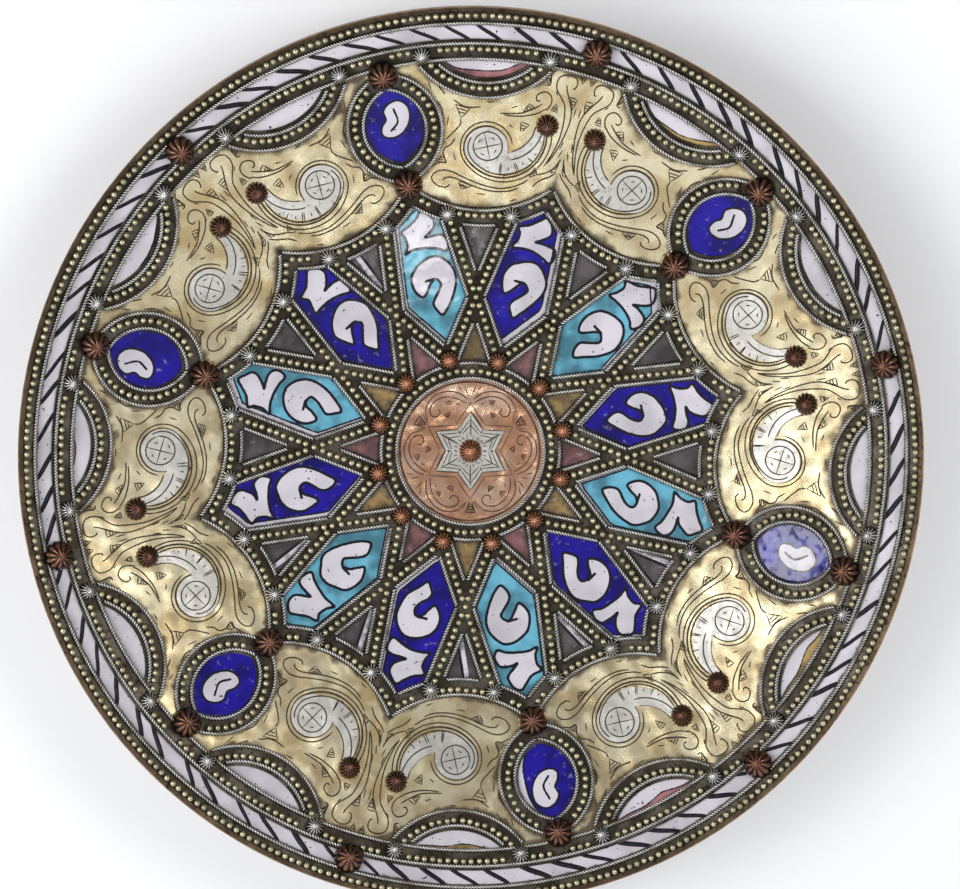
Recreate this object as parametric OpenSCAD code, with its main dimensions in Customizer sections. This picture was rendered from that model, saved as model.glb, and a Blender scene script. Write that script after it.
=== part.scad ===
// Decorative platter: a thrown earthenware dish, glazed and painted, under a pierced metal overlay.
// The overlay is cut sheet fitted edge to edge, twisted wire over every seam and window edge,
// rows of brass beads between the wires, and domed studs over the junctions.
// Millimetres. The face looks up along +Z and +Y is the top of the pattern.
// The origin is the middle of the circle on which the foot ring stands.

/* [Dish] */
// outside diameter over the rim binding
platter_d = 398; // [380:1:430]
// radius of the spherical face of the bowl
bowl_r = 600; // [520:10:760]
// thickness of the earthenware
wall_t = 8; // [6:0.5:11]
// outside diameter of the foot ring where it stands
foot_d = 160; // [130:1:190]
// width of the foot ring where it stands
foot_w = 9; // [6:0.5:13]
// clear height under the middle of the dish
foot_lift = 6; // [3:0.5:10]

/* [Sheet metal] */
// thickness of the panels and strips laid on the glaze
sheet_t = 0.8; // [0.5:0.1:1.2]
// thickness of the copper strip bound round the edge
binding_t = 0.8; // [0.5:0.1:0.9]
// width of the binding's folded hem on the face
hem_w = 1.5; // [1.2:0.1:1.6]
// thickness of the paisleys and of the star
applique_t = 0.5; // [0.3:0.1:0.8]

/* [Bead and wire strips] */
// diameter of a brass bead
bead_d = 2.8; // [2.4:0.1:2.9]
// distance from one bead to the next
bead_pitch = 3.5; // [3.5:0.1:4.5]
// diameter of the twisted wire
wire_d = 1.8; // [1.4:0.1:2]
// distance between the two wires of a strip
strip_w = 6.8; // [6.4:0.1:7.2]

/* [Rim] */
// distance of the outer bead row from the platter's edge
edge_to_row = 3.9; // [3.8:0.1:5]
// distance between the rim's two bead rows, across the painted band
band_step = 14.6; // [13.5:0.1:16]

/* [Half-moons] */
// distance between the two studs of a half-moon
moon_span = 56.5; // [52:0.5:60]
// how far the half-moon's bead row hangs in from the inner rim row
moon_drop = 17.4; // [15:0.1:20]

/* [Ovals] */
// length of an oval's bead row from tip to tip
oval_len = 44; // [40:0.5:46]
// width of an oval's bead row
oval_w = 34.4; // [30:0.2:36]
// distance of the oval's bead row from the inner rim row
oval_inset = 9; // [8:0.1:11]

/* [Rosette] */
// distance of a point of the rosette's bead row from the oval's bead row
point_gap = 9.4; // [8:0.1:12]
// how far the border's bead row hangs in between two points
lobe_drop = 13.6; // [11:0.1:16]
// distance from the middle to where two spokes cross
cross_r = 70; // [66:0.5:74]
// turn of the whole pattern about the middle
pattern_turn = 13; // [0:1:59]

/* [Medallion] */
// diameter of the copper disc
medallion_d = 66; // [62:0.5:70]
// distance of the medallion's studs from its bead row
hub_stud_step = 6; // [5:0.1:7]
// width of the star over two points
star_d = 34.8; // [28:0.2:40]
// width of the star over two notches
star_notch_d = 21.6; // [18:0.2:26]
// turn of the star about the middle
star_turn = 30; // [0:1:59]

/* [Paisleys] */
// diameter of the round head
head_d = 19; // [17:0.1:20.5]
// distance of the head from the inner rim row
head_drop = 45.3; // [44:0.1:46.5]
// distance of the head from the panel's middle line
head_off = 33.6; // [32.5:0.1:35]
// distance of the paisley's stud from the inner rim row
curl_drop = 30.3; // [29:0.1:31.5]
// distance of the paisley's stud from the panel's middle line
curl_off = 10.9; // [10:0.1:12]
// width of the tail at the stud
tail_w = 3; // [2.5:0.1:4]
// how much wider the tail is where it joins the head
tail_swell = 6; // [5:0.1:7.5]
// radius of the tail's outer bend
tail_bend = 19; // [17.5:0.1:20]
// angle between the outward way and the line from the head to the middle of the bend
tail_lean = 37; // [33:0.5:41]

/* [Studs] */
// diameter of the studs of the rim and of the ovals
large_stud_d = 13.6; // [12:0.1:14.4]
// diameter of the paisley studs
paisley_stud_d = 10.4; // [9:0.1:11]
// diameter of the stud in the middle
centre_stud_d = 11; // [9:0.1:13]
// diameter of the medallion's studs
hub_stud_d = 8.6; // [7.6:0.1:9.4]
// diameter of the silver studs
silver_stud_d = 8.2; // [7.4:0.1:9]
// height of a stud for each millimetre of its diameter
stud_rise = 0.4; // [0.3:0.01:0.48]
// thickness of a stud's wall
stud_t = 0.8; // [0.6:0.1:1]
// number of flutes on the large studs
flutes = 12; // [8:1:14]
// width of a flute
flute_w = 0.9; // [0.6:0.1:1.1]

/* [Hidden] */
$fn = 48;
smooth = 256;
sides = 24;
sector = 60;
half = sector / 2;
quarter = sector / 4;
seam = 0.1;
seat = 0.03;
deep = 14;
rim_r = platter_d / 2;
lip_r = rim_r - binding_t;
hem_r = lip_r - hem_w;
middle_z = foot_lift + wall_t + bowl_r;
bead_r = bead_d / 2;
wire_r = wire_d / 2;
strip_h = strip_w / 2;
edge_h = strip_h + wire_r;
wire_level = sheet_t + wire_r + seat;
bead_level = sheet_t + bead_r + seat;
stud_level = sheet_t + wire_d + 3 * seat;
trim_level = sheet_t + applique_t + 3 * seat;
wire_ball = bowl_r - wire_level;
bead_ball = bowl_r - bead_level;
sectors = [for (k = [0:5]) pattern_turn + k * sector];
thirds = [for (k = [0:11]) pattern_turn + k * half];
mids = [for (k = [0:11]) pattern_turn + quarter + k * half];
ovals = [for (k = [0:5]) pattern_turn + half + k * sector];

// A place on the bowl is a direction from the bowl's middle point: a turn about Z and a distance from Z.
function unit(v) = v / norm(v);
function lean(r) = asin(r / bowl_r);
function to(turn, r) = [sin(lean(r)) * cos(turn), sin(lean(r)) * sin(turn), -cos(lean(r))];
function spin(v, turn) = [v[0] * cos(turn) - v[1] * sin(turn), v[0] * sin(turn) + v[1] * cos(turn), v[2]];
function off_axis(v) = bowl_r * norm([v[0], v[1]]);
// distance from Z after a step inwards along the bowl, and turn of a place that lies beside a radius
function step_in(r, s) = bowl_r * sin(lean(r) - s / bowl_r * 180 / PI);
function beside(r, off) = asin(off / r);
// axis and reach of the round line through three places
function axis_of(a, b, c) = let (n = unit(cross(b - a, c - a))) n[2] < 0 ? n : -n;
function reach_of(axis, a) = bowl_r * norm(a - (a * axis) * axis);
// directions square to an axis: up the bowl and round it
function uphill(axis) =
  let (t = atan2(axis[1], axis[0]), b = lean(off_axis(axis))) [cos(b) * cos(t), cos(b) * sin(t), sin(b)];
function round_way(axis) = cross(-axis, uphill(axis));
// place reached by walking a length from another one
function along(from, way, length) =
  let (turn = length / bowl_r * 180 / PI) cos(turn) * from + sin(turn) * way;

// Rows of the pattern, from the rim inwards.
outer_r = rim_r - edge_to_row;
inner_r = outer_r - band_step;
inner_seam_r = inner_r - strip_h;
moon_turn = beside(inner_r, moon_span / 2);
moon_end = to(moon_turn, inner_r);
moon_axis = axis_of(moon_end, spin(moon_end, -2 * moon_turn), to(0, step_in(inner_r, moon_drop)));
moon_arc = reach_of(moon_axis, moon_end);
oval_r = step_in(inner_r, oval_inset + oval_len / 2);
oval_arc = (oval_len * oval_len + oval_w * oval_w) / (4 * oval_w);
oval_turn = beside(oval_r, oval_arc - oval_w / 2);
oval_axes = [for (s = [-1, 1]) to(s * oval_turn, oval_r)];
oval_foot_r = step_in(oval_r, oval_len / 2);
point_r = step_in(oval_foot_r, point_gap);
point = to(quarter, point_r);
lobe_r = step_in(point_r, lobe_drop);
lobe_axis = axis_of(point, spin(point, -half), to(0, lobe_r));
lobe_arc = reach_of(lobe_axis, point);
hub_seam_r = medallion_d / 2;
hub_r = hub_seam_r + strip_h;
hub_stud_r = hub_r + hub_stud_step;

// A wire's line on the bowl is cut by a plane, held as the plane's normal and its distance from the middle.
function ring_line(axis, reach) = [axis, sqrt(pow(wire_ball, 2) - pow(reach, 2))];
function lobe_line(turn, grow) = ring_line(spin(lobe_axis, turn), lobe_arc + grow);
function spoke_normal(turn, hand) =
  let (n = unit(cross(to(turn, hub_stud_r), to(turn + hand * quarter, cross_r))))
  n * sign(n * to(turn, cross_r));
function spoke_line(turn, hand, away) = [spoke_normal(turn, hand), away];
function meet(a, b, near) =
  let (c = a[0] * b[0],
       p = (a[1] - b[1] * c) / (1 - c * c),
       q = (b[1] - a[1] * c) / (1 - c * c),
       w = cross(a[0], b[0]),
       k = sqrt((pow(wire_ball, 2) - p * p - q * q - 2 * p * q * c) / (w * w)),
       base = p * a[0] + q * b[0],
       one = base + k * w,
       two = base - k * w)
  one * near > two * near ? one : two;

// Length to leave off a wire's end so that two wires meeting in a corner touch and don't cross.
function heading(line, from, goal) = let (g = unit(cross(line[0], from))) g * sign(g * (goal - from));
function mitre(a, a_goal, b, b_goal, corner) =
  let (bend = acos(heading(a, corner, a_goal) * heading(b, corner, b_goal)))
  wire_r / tan(bend / 2) + seat;

// Bead places along a round row, at equal steps.
function row_point(axis, reach, phi) =
  sqrt(pow(bead_ball, 2) - reach * reach) * axis
  + reach * (cos(phi) * uphill(axis) + sin(phi) * round_way(axis));
function full_row(reach) =
  let (n = floor(2 * PI * reach / bead_pitch))
  [for (i = [0:n - 1]) row_point([0, 0, -1], reach, i * 360 / n)];
function arc_row(axis, reach, middle, spread) =
  let (n = floor(2 * spread * reach * PI / 180 / bead_pitch))
  [for (i = [0:n]) row_point(axis, reach, middle + (2 * i / n - 1) * spread)];
function flat(lists) = [for (l = lists) for (x = l) x];
function clear_of(points, studs, d) =
  [for (p = points) if (min([for (s = studs) norm(p - s * norm(p))]) > d / 2 + bead_r) p];
function inside(points, r) = [for (p = points) if (norm([p[0], p[1]]) < r) p];

// Stud places, as directions.
rim_stud_dirs = [for (t = sectors) to(t, (outer_r + inner_r) / 2)];
outer_oval_stud_r = step_in(inner_seam_r, (oval_inset - strip_h) / 2);
inner_oval_stud_r = step_in(oval_foot_r, point_gap / 2);
oval_stud_dirs = flat([for (t = ovals) [to(t, outer_oval_stud_r), to(t, inner_oval_stud_r)]]);
moon_stud_dirs = flat([for (t = mids) [for (s = [-1, 1]) to(t + s * moon_turn, inner_r)]]);
hub_stud_dirs = [for (t = thirds) to(t, hub_stud_r)];
spoke_ends = flat([for (t = thirds) [for (s = [-1, 1])
  unit(meet(spoke_line(t, s, 0), lobe_line(t + s * quarter, 0), to(t + s * quarter, cross_r)))]]);
spoke_len = norm(spoke_ends[1] - hub_stud_dirs[0]) * bowl_r + 2 * edge_h;
curl_r = step_in(inner_r, curl_drop);
curl_turn = beside(curl_r, curl_off);
head_r = step_in(inner_r, head_drop);
head_turn = beside(head_r, head_off);
curl_dirs = [for (t = sectors) for (s = [-1, 1]) to(t + s * curl_turn, curl_r)];

// Holds its children where the bowl's face lies at z = -bowl_r, looking back at the middle point.
module on_bowl(axis)
  translate([0, 0, middle_z])
    rotate([0, 0, atan2(axis[1], axis[0])]) rotate([0, -lean(off_axis(axis)), 0]) children();

module sheet_profile(r0, r1, lo, hi) intersection() {
  difference() {
    circle(r = bowl_r - lo, $fn = smooth);
    circle(r = bowl_r - hi, $fn = smooth);
  }
  translate([r0, -bowl_r - deep]) square([r1 - r0, bowl_r]);
}

module sheet(r0, r1, lo = 0, hi = sheet_t, turn = 0, sweep = 360)
  translate([0, 0, middle_z]) rotate([0, 0, turn])
    rotate_extrude(angle = sweep, $fn = smooth) sheet_profile(r0, r1, lo, hi);

// Round cutter that stands square on the bowl.
module punch(axis, reach)
  on_bowl(axis) translate([0, 0, -bowl_r - deep]) cylinder(r = reach, h = 2 * deep, $fn = smooth);

module moon(turn, grow) punch(spin(moon_axis, turn), moon_arc + grow);

module lobe(turn, grow) punch(spin(lobe_axis, turn), lobe_arc + grow);

module lens(turn, grow) intersection_for (axis = oval_axes) punch(spin(axis, turn), oval_arc + grow);

// Straight bar along a spoke, with its bead row in the middle.
module spoke_bar(turn, hand, away) {
  n = spoke_normal(turn, hand);
  down = to(turn, hub_stud_r);
  along = cross(n, down) * sign(cross(n, down) * to(turn, cross_r));
  multmatrix([[along[0], n[0], down[0], 0], [along[1], n[1], down[1], 0],
              [along[2], n[2], down[2], middle_z], [0, 0, 0, 1]])
    translate([-away, -away, bowl_r - deep]) cube([spoke_len, 2 * away, 2 * deep]);
}

module wire(line, a, b, cut_a = 0, cut_b = 0) {
  n = line[0];
  c = line[1] * n;
  rho = norm(a - c);
  u = (a - c) / rho;
  v = cross(n, u);
  sweep = atan2((b - c) * v, (b - c) * u);
  way = sign(sweep);
  first = way * cut_a / rho * 180 / PI;
  last = sweep - way * cut_b / rho * 180 / PI;
  multmatrix([[u[0], v[0], n[0], c[0]], [u[1], v[1], n[1], c[1]],
              [u[2], v[2], n[2], c[2] + middle_z], [0, 0, 0, 1]])
    rotate([0, 0, min(first, last)])
      rotate_extrude(angle = abs(last - first), $fn = smooth)
        translate([rho, 0]) circle(d = wire_d, $fn = sides);
}

module ring_wire(reach)
  translate([0, 0, middle_z - sqrt(pow(wire_ball, 2) - reach * reach)])
    rotate_extrude($fn = smooth) translate([reach, 0]) circle(d = wire_d, $fn = sides);

// Closed run of wires: each line meets the next one near the place given for it.
module wire_loop(lines, near) {
  n = len(lines);
  corner = [for (i = [0:n - 1]) meet(lines[i], lines[(i + 1) % n], near[i])];
  for (i = [0:n - 1]) {
    p = (i + n - 1) % n;
    q = (i + 1) % n;
    wire(lines[i], corner[p], corner[i],
      mitre(lines[p], corner[(p + n - 1) % n], lines[i], corner[i], corner[p]),
      mitre(lines[i], corner[p], lines[q], corner[q], corner[i]));
  }
}

module beads(points)
  for (p = points) translate([p[0], p[1], p[2] + middle_z]) sphere(d = bead_d, $fn = sides);

// Hollow dome standing on its rim, with flutes pressed in along its meridians where asked for.
module stud(d, fluted = false) {
  r = d / 2;
  h = stud_rise * d;
  ball = (r * r + h * h) / (2 * h);
  rim = asin(r / ball);
  clear = flute_w / ball * 180 / PI;
  translate([0, 0, h - ball]) difference() {
    rotate_extrude() intersection() {
      difference() {
        circle(r = ball);
        circle(r = ball - stud_t);
      }
      translate([0, ball - h]) square([d, d]);
    }
    if (fluted)
      for (i = [0:flutes - 1])
        rotate([0, 0, i * 360 / flutes]) rotate([90, 0, 0]) rotate([0, 0, 90 - rim - clear])
          rotate_extrude(angle = rim - clear, $fn = smooth)
            translate([ball, 0]) circle(d = flute_w, $fn = sides);
  }
}

module studs(dirs, d, level, fluted = false)
  for (v = dirs) on_bowl(v) translate([0, 0, level - bowl_r]) stud(d, fluted);

module ceramic_dish() color("ivory") {
  foot_r = foot_d / 2;
  foot_top = middle_z - sqrt(pow(bowl_r + wall_t, 2) - pow(foot_r, 2)) + wall_t / 2;
  flare = foot_w / 4;
  rotate_extrude($fn = smooth) difference() {
    union() {
      intersection() {
        translate([0, middle_z]) circle(r = bowl_r + wall_t, $fn = smooth);
        square([lip_r, middle_z - bowl_r / 2]);
      }
      polygon([[foot_r - foot_w, 0], [foot_r, 0],
               [foot_r + flare, foot_top], [foot_r - foot_w - flare, foot_top]]);
    }
    translate([0, middle_z]) circle(r = bowl_r, $fn = smooth);
  }
}

// Copper strip folded round the lip, with a double hem on the face.
module rim_binding() color("peru")
  translate([0, 0, middle_z]) rotate_extrude($fn = smooth) difference() {
    intersection() {
      difference() {
        circle(r = bowl_r + wall_t + binding_t, $fn = smooth);
        circle(r = bowl_r - 2 * binding_t, $fn = smooth);
      }
      translate([hem_r, -bowl_r - wall_t - deep]) square([rim_r - hem_r, bowl_r]);
    }
    intersection() {
      difference() {
        circle(r = bowl_r + wall_t, $fn = smooth);
        circle(r = bowl_r, $fn = smooth);
      }
      translate([0, -bowl_r - wall_t - deep]) square([lip_r, bowl_r]);
    }
  }

module outer_rim_strip() color("dimgray") sheet(outer_r - edge_h, hem_r - seam);
module outer_rim_wire() color("silver") ring_wire(outer_r - strip_h);
module outer_rim_beads() color("goldenrod") beads(clear_of(full_row(outer_r), rim_stud_dirs, large_stud_d));

module inner_rim_strip() color("dimgray") sheet(inner_seam_r + seam / 2, inner_r + edge_h);
module inner_rim_wires() color("silver") {
  ring_wire(inner_r + strip_h);
  ring_wire(inner_r - strip_h);
}
module inner_rim_beads() color("goldenrod")
  beads(clear_of(clear_of(clear_of(full_row(inner_r), moon_stud_dirs, silver_stud_d),
    rim_stud_dirs, large_stud_d), oval_stud_dirs, large_stud_d));

// Brass field of one sector, from the rosette's border out to the rim, cut round the half-moons and ovals.
module brass_panel(t) color("khaki") difference() {
  intersection() {
    sheet(lobe_r, inner_seam_r - seam / 2, turn = t - half + seam, sweep = sector - 2 * seam);
    union() for (s = [-1, 1]) lobe(t + s * quarter, -strip_h - seam / 2);
  }
  for (s = [-1, 1]) {
    moon(t + s * quarter, strip_h + seam / 2);
    lens(t + s * half, strip_h + seam / 2);
  }
}

// Comma of silver-coloured sheet: a round head and a tail that bends from it to the stud and thins on the way.
module paisley(t, s) color("gainsboro") {
  head = to(t + s * head_turn, head_r);
  curl = to(t + s * curl_turn, curl_r);
  bow = along(head, cos(tail_lean) * uphill(head) - s * sin(tail_lean) * round_way(head), tail_bend - head_d / 2);
  hollow = along(bow, uphill(bow), tail_swell);
  stud_up = bowl_r * curl * uphill(bow);
  head_side = bowl_r * abs(head * round_way(bow));
  intersection() {
    sheet(head_r - head_d, step_in(curl_r, -tail_w), lo = sheet_t, hi = sheet_t + applique_t,
      turn = t - half, sweep = sector);
    union() {
      punch(head, head_d / 2);
      intersection() {
        difference() {
          punch(bow, tail_bend);
          punch(hollow, tail_bend - tail_w);
        }
        on_bowl(bow) translate([-2 * tail_bend, s > 0 ? -2 * tail_bend : -head_side, -bowl_r - deep])
          cube([2 * tail_bend + stud_up, 2 * tail_bend + head_side, 2 * deep]);
      }
    }
  }
}

module paisley_pair(t) for (s = [-1, 1]) paisley(t, s);

module oval_strip(t) color("dimgray") difference() {
  intersection() {
    sheet(point_r, inner_seam_r - seam / 2, turn = t - half, sweep = sector);
    lens(t, strip_h - seam / 2);
  }
  lens(t, -edge_h);
}

module oval_wires() color("silver")
  for (t = ovals)
    for (grow = [-strip_h, strip_h])
      wire_loop([for (axis = oval_axes) ring_line(spin(axis, t), oval_arc + grow)],
                [to(t, inner_r), to(t, cross_r)]);

module oval_beads() color("goldenrod") {
  spread = asin(oval_len / 2 / oval_arc);
  beads(clear_of(flat([for (t = ovals) for (k = [0, 1])
    arc_row(spin(oval_axes[k], t), oval_arc, k == 0 ? 90 : -90, spread)]), oval_stud_dirs, large_stud_d));
}

module half_moon_strip(t) color("dimgray") difference() {
  intersection() {
    sheet(point_r, inner_seam_r - seam / 2, turn = t - quarter, sweep = half);
    moon(t, strip_h - seam / 2);
  }
  moon(t, -edge_h);
}

module half_moon_wires() color("silver")
  for (t = mids)
    for (grow = [-strip_h, strip_h]) {
      arc = ring_line(spin(moon_axis, t), moon_arc + grow);
      rim = ring_line([0, 0, -1], inner_seam_r - wire_d);
      wire(arc, meet(arc, rim, to(t - quarter, inner_r)), meet(arc, rim, to(t + quarter, inner_r)));
    }

module half_moon_beads() color("goldenrod") {
  spread = asin(moon_span / 2 / moon_arc);
  beads(clear_of(inside(flat([for (t = mids) arc_row(spin(moon_axis, t), moon_arc, 180, spread)]),
    inner_seam_r - wire_d), moon_stud_dirs, silver_stud_d));
}

// Pierced sheet of the rosette: scalloped border, crossing spokes and the ring round the medallion.
module rosette_fret() color("dimgray") difference() {
  intersection() {
    sheet(hub_seam_r + seam / 2, oval_foot_r);
    union() {
      punch([0, 0, -1], hub_r + edge_h);
      for (t = thirds) for (s = [-1, 1]) spoke_bar(t, s, edge_h);
      for (t = mids) lobe(t, edge_h);
    }
  }
  for (t = mids) lobe(t, -strip_h + seam / 2);
}

module rosette_border_wire() color("silver")
  for (t = mids) {
    line = lobe_line(t, -strip_h);
    prior = lobe_line(t - half, -strip_h);
    a = meet(line, prior, to(t - quarter, cross_r));
    b = meet(line, lobe_line(t + half, -strip_h), to(t + quarter, cross_r));
    before = meet(prior, lobe_line(t - sector, -strip_h), to(t - half - quarter, cross_r));
    cut = mitre(line, b, prior, before, a);
    wire(line, a, b, cut, cut);
  }

module rosette_beads() color("goldenrod") {
  spread = asin(point_r * sin(quarter) / lobe_arc) - bead_d / lobe_arc * 180 / PI;
  beads(clear_of(clear_of(flat([for (t = mids) arc_row(spin(lobe_axis, t), lobe_arc, 180, spread)]),
    oval_stud_dirs, large_stud_d), spoke_ends, silver_stud_d));
}

module lozenge_wires() color("silver")
  for (t = thirds)
    wire_loop([spoke_line(t, 1, strip_h), spoke_line(t + half, -1, -strip_h),
               lobe_line(t + quarter, strip_h), lobe_line(t - quarter, strip_h),
               spoke_line(t - half, 1, -strip_h), spoke_line(t, -1, strip_h)],
              [for (turn = [quarter, quarter / 2, 0, -quarter / 2, -quarter, 0]) to(t + turn, cross_r)]);

module triangle_wires() color("silver")
  for (t = thirds) {
    m = t + quarter;
    wire_loop([spoke_line(t, 1, -strip_h), spoke_line(t + half, -1, -strip_h),
               ring_line([0, 0, -1], hub_r + strip_h)],
              [to(m, cross_r), to(t + half, hub_r), to(t, hub_r)]);
    wire_loop([spoke_line(t, 1, strip_h), spoke_line(t + half, -1, strip_h), lobe_line(m, strip_h)],
              [to(m, cross_r), to(t, cross_r), to(t + half, cross_r)]);
  }

// The four beads next to a crossing stand far enough out to clear each other.
module spoke_beads() color("goldenrod") {
  count = floor(spoke_len / bead_pitch);
  cross_half = acos(abs(spoke_normal(0, 1) * spoke_normal(half, -1))) / 2;
  spare = max(0, (bead_r + seat) / sin(cross_half) - bead_pitch);
  points = flat([for (t = thirds) for (s = [-1, 1])
    let (x = to(t + s * quarter, cross_r), n = spoke_normal(t, s), g = unit(cross(n, x)))
    [for (i = [-count:count]) if (i != 0 || s > 0)
      let (a = (i * bead_pitch + sign(i) * spare) / bead_ball * 180 / PI) bead_ball * (cos(a) * x + sin(a) * g)]]);
  stop_r = hub_stud_r + hub_stud_d / 2;
  outside = [for (p = clear_of(clear_of(points, spoke_ends, silver_stud_d), hub_stud_dirs, hub_stud_d))
    if (norm([p[0], p[1]]) > stop_r) p];
  beads([for (p = outside)
    if (min([for (m = mids) reach_of(spin(lobe_axis, m), unit(p))]) > lobe_arc + bead_d) p]);
}

module medallion_disc() color("darksalmon") sheet(0, hub_seam_r - seam / 2);

module medallion_star() color("gainsboro") intersection() {
  sheet(0, star_d / 2 + 1, lo = sheet_t, hi = sheet_t + applique_t);
  linear_extrude(height = middle_z) polygon([for (i = [0:11])
    (i % 2 == 0 ? star_d : star_notch_d) / 2 * [cos(star_turn + i * half), sin(star_turn + i * half)]]);
}

module medallion_wire() color("silver") ring_wire(hub_seam_r);
module medallion_beads() color("goldenrod") beads(clear_of(full_row(hub_r), hub_stud_dirs, hub_stud_d));

module rim_studs() color("saddlebrown") studs(rim_stud_dirs, large_stud_d, stud_level, fluted = true);
module oval_studs() color("saddlebrown") studs(oval_stud_dirs, large_stud_d, stud_level, fluted = true);
module paisley_studs() color("saddlebrown") studs(curl_dirs, paisley_stud_d, trim_level);
module medallion_studs() color("saddlebrown") studs(hub_stud_dirs, hub_stud_d, stud_level);
module centre_stud() color("saddlebrown") studs([[0, 0, -1]], centre_stud_d, trim_level, fluted = true);
module half_moon_studs() color("silver") studs(moon_stud_dirs, silver_stud_d, stud_level);
module rosette_studs() color("silver") studs(spoke_ends, silver_stud_d, stud_level);

ceramic_dish();
rim_binding();
outer_rim_strip();
outer_rim_wire();
outer_rim_beads();
inner_rim_strip();
inner_rim_wires();
inner_rim_beads();
for (k = [0:5]) {
  brass_panel(sectors[k]);
  paisley_pair(sectors[k]);
  oval_strip(ovals[k]);
}
for (k = [0:11])
  half_moon_strip(mids[k]);
oval_wires();
oval_beads();
half_moon_wires();
half_moon_beads();
rosette_fret();
rosette_border_wire();
rosette_beads();
lozenge_wires();
triangle_wires();
spoke_beads();
medallion_disc();
medallion_star();
medallion_wire();
medallion_beads();
rim_studs();
oval_studs();
paisley_studs();
medallion_studs();
centre_stud();
half_moon_studs();
rosette_studs();
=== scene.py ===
import bpy
import numpy as np
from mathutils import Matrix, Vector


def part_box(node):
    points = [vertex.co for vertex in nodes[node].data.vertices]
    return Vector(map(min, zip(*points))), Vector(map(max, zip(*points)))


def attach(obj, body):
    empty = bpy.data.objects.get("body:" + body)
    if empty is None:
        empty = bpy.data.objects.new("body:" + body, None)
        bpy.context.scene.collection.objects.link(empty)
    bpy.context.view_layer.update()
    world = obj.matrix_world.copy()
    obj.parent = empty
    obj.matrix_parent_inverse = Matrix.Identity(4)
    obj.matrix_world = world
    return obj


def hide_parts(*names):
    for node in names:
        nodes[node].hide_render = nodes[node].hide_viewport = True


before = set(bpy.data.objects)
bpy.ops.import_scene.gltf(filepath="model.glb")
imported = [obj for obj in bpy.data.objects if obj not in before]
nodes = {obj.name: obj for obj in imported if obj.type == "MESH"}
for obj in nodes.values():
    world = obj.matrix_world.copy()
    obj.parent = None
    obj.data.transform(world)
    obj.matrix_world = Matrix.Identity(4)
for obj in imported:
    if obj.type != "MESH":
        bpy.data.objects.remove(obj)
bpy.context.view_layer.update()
rng = np.random.default_rng(12)

# The dish: thrown earthenware under a white tin glaze, slightly grey, with pinholes where the clay outgassed.
# Its face is one hollow sphere, and every piece of the overlay lies on that sphere.
# Sizes are in millimetres; the sphere is worked out from two rings of wire and the medallion's middle.
MM = 0.001


def ring_of(node):
    """Radius and height of a ring of wire, and the wire's own radius, from its CAD box."""
    lo, hi = (np.array(corner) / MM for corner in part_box(node))
    thick = (hi[2] - lo[2]) / 2
    return (hi[0] - lo[0]) / 2 - thick, (hi[2] + lo[2]) / 2, thick


far_r, far_z, wire_r = ring_of("outer_rim_wire")
hub_seam_r, hub_z, wire_r = ring_of("medallion_wire")
middle_z = (far_z**2 + far_r**2 - hub_z**2 - hub_seam_r**2) / (2 * (far_z - hub_z))
wire_ball = np.hypot(far_r, middle_z - far_z)
bowl_r = middle_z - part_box("medallion_disc")[0][2] / MM


class Flow:
    """A shader socket that works like a number; node() makes any node and feed() fills its inputs."""

    def __init__(self, tree, socket=None):
        self.tree, self.socket = tree, socket

    def node(self, kind, inputs={}, out=0, **settings):
        made = self.tree.nodes.new("ShaderNode" + kind)
        for key, value in settings.items():
            setattr(made, key, value)
        self.feed(made, inputs)
        return Flow(self.tree, made.outputs[out])

    def feed(self, node, inputs):
        for key, value in inputs.items():
            if isinstance(value, Flow):
                self.tree.links.new(value.socket, node.inputs[key])
            else:
                node.inputs[key].default_value = value

    def math(self, operation, *values):
        return self.node("Math", dict(enumerate(values)), operation=operation)


for sign, operation in dict(add="ADD", sub="SUBTRACT", mul="MULTIPLY", truediv="DIVIDE", pow="POWER").items():
    setattr(Flow, f"__{sign}__", lambda self, other, kind=operation: self.math(kind, self, other))
    setattr(Flow, f"__r{sign}__", lambda self, other, kind=operation: self.math(kind, other, self))


def here(f):
    """The shaded point in the object's own space, in metres."""
    return f.node("TexCoord", out="Object")


def cloud(f, scale, detail=3):
    """Cloudy noise from 0 to 1; scale is in features per metre."""
    return f.node("TexNoise", {"Vector": here(f), "Scale": scale, "Detail": detail})


def step(value, low, high):
    """0 below low, 1 above high and a smooth rise between; low above high makes a fall."""
    span = {"Value": value, "From Min": low, "From Max": high}
    return value.node("MapRange", span, interpolation_type="SMOOTHSTEP")


def blend(factor, first, second):
    """The first colour at factor 0, the second at 1."""
    rgba = [c if isinstance(c, Flow) else (*c, 1) for c in (first, second)]
    return factor.node("Mix", {0: factor, 6: rgba[0], 7: rgba[1]}, out=2, data_type="RGBA")


def bump(height, depth):
    """Surface normal for a height from 0 to 1 that stands depth millimetres high."""
    return height.node("Bump", {"Height": height, "Strength": 1, "Distance": depth * MM}, out="Normal")


def material(name, paint):
    """Principled material; paint(flow) returns its inputs by name, as sockets or constants."""
    made = bpy.data.materials.new(name)
    made.use_nodes = True
    flow = Flow(made.node_tree)
    flow.feed(made.node_tree.nodes["Principled BSDF"], paint(flow))
    return made


def dress(look, *names):
    """The look on the CAD nodes named."""
    for name in names:
        nodes[name].data.materials[0] = look


GLAZE_WHITE, GLAZE_GREY, PINHOLE = (0.64, 0.6, 0.645), (0.46, 0.43, 0.46), (0.02, 0.018, 0.016)
# RIM_SHADE_AND_GRIME: painted shade with grime, laid on the glaze beside the rim's raised wires.
RIM_SHADE_AND_GRIME, BACK_BUFF = (0.03, 0.026, 0.024), (0.46, 0.38, 0.28)
CLAY_DARK, CLAY_PALE = (0.34, 0.17, 0.09), (0.5, 0.31, 0.18)


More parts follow.
